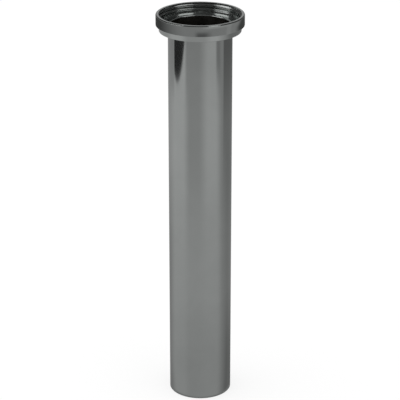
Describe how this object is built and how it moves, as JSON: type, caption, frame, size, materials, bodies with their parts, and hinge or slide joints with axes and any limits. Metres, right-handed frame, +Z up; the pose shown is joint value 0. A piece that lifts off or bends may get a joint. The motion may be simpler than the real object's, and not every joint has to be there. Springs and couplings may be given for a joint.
{
  "type": "basin waste tail pipe",
  "caption": "Straight plated tail pipe with a stepped round collar: its threaded socket screws up under a basin waste and its plain tube drops into a trap.",
  "frame": {"origin": "centre of the square-cut foot, on the surface the pipe stands on", "axes": "+Z up the pipe's axis from the foot to the collar, as it is fitted; the pipe is round, so +X and +Y are free"},
  "size_m": [0.044, 0.044, 0.205],
  "materials": {
    "plated_brass": "polished chrome plate on brass"
  },
  "bodies": {
    "root": {"tail_pipe": "plated_brass"}
  },
  "joints": []
}
